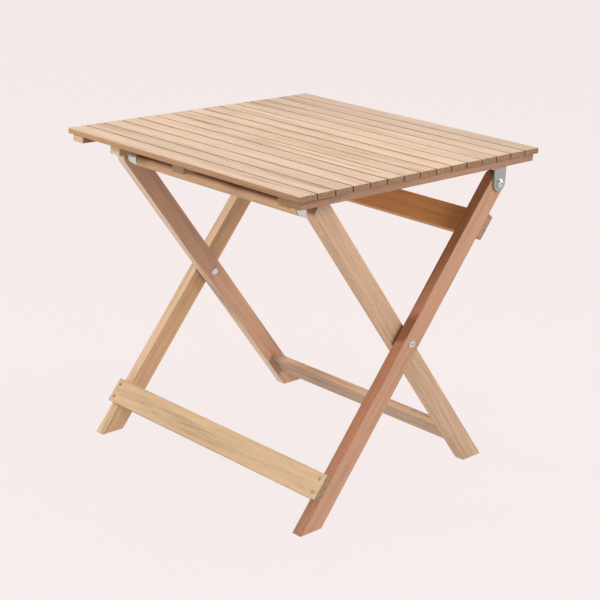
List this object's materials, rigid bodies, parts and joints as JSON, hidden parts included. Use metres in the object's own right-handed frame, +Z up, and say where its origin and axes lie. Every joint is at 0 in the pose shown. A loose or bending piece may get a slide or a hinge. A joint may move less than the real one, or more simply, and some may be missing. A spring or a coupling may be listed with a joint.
{
  "type": "folding table",
  "caption": "Square wooden folding table with a slatted top hinged on crossed legs; a round dowel between the inner legs seats in cleats under the top.",
  "frame": {"origin": "on the floor under the middle of the top", "axes": "+X along the slats, +Y from the front edge (the dowel side) to the back edge (the hinge side), +Z up"},
  "size_m": [0.7, 0.7, 0.705],
  "materials": {
    "slat_wood": "oiled, light honey with a pinkish cast, fine straight grain",
    "batten_wood": "oiled, pinkish brown",
    "cleat_wood": "oiled, mid brown",
    "leg_wood": "oiled, tan to reddish brown, varies leg to leg",
    "board_wood": "oiled, yellowish tan to brown",
    "dowel_wood": "oiled, tan, turned round",
    "galvanised_steel": "galvanised, dull grey",
    "screw_steel": "zinc plated",
    "fitting_steel": "bright nickel plated"
  },
  "bodies": {
    "outer_frame": {"outer_leg_left": "leg_wood", "outer_leg_right": "leg_wood", "front_stretcher": "board_wood", "upper_rail": "board_wood", "front_stretcher_screws": "screw_steel", "upper_rail_screws": "screw_steel", "hinge_bolts": "fitting_steel", "hinge_washers": "fitting_steel", "hinge_shims": "fitting_steel", "hinge_sleeve_nuts": "fitting_steel", "pivot_bolts": "fitting_steel", "pivot_sleeve_nuts": "fitting_steel", "pivot_spacers": "fitting_steel"},
    "inner_frame": {"inner_leg_left": "leg_wood", "inner_leg_right": "leg_wood", "rear_stretcher": "board_wood", "lock_dowel": "dowel_wood", "ferrule_left": "fitting_steel", "ferrule_right": "fitting_steel", "stretcher_pins": "dowel_wood"},
    "tabletop": {"slat_01": "slat_wood", "slat_02": "slat_wood", "slat_03": "slat_wood", "slat_04": "slat_wood", "slat_05": "slat_wood", "slat_06": "slat_wood", "slat_07": "slat_wood", "slat_08": "slat_wood", "slat_09": "slat_wood", "slat_10": "slat_wood", "slat_11": "slat_wood", "slat_12": "slat_wood", "slat_13": "slat_wood", "slat_14": "slat_wood", "slat_15": "slat_wood", "batten_left": "batten_wood", "batten_middle": "batten_wood", "batten_right": "batten_wood", "cleat_left": "cleat_wood", "cleat_right": "cleat_wood", "hinge_bracket_left": "galvanised_steel", "hinge_bracket_right": "galvanised_steel", "slat_screws": "screw_steel", "cleat_screws": "screw_steel", "bracket_screws": "screw_steel"}
  },
  "joints": [
    {"name": "frame_fold", "type": "hinge", "parent": "outer_frame", "child": "inner_frame", "pos_m": [0, 0.0045, 0.339], "axis": [-1, 0, 0], "range_deg": [0, 76]},
    {"name": "top_lift", "type": "hinge", "parent": "outer_frame", "child": "tabletop", "pos_m": [0, 0.24374, 0.64192], "axis": [-1, 0, 0], "range_deg": [0, 64.6]}
  ],
  "couplings": [
    {"joint": "frame_fold", "follows": "top_lift", "ratio": 1.1764}
  ]
}
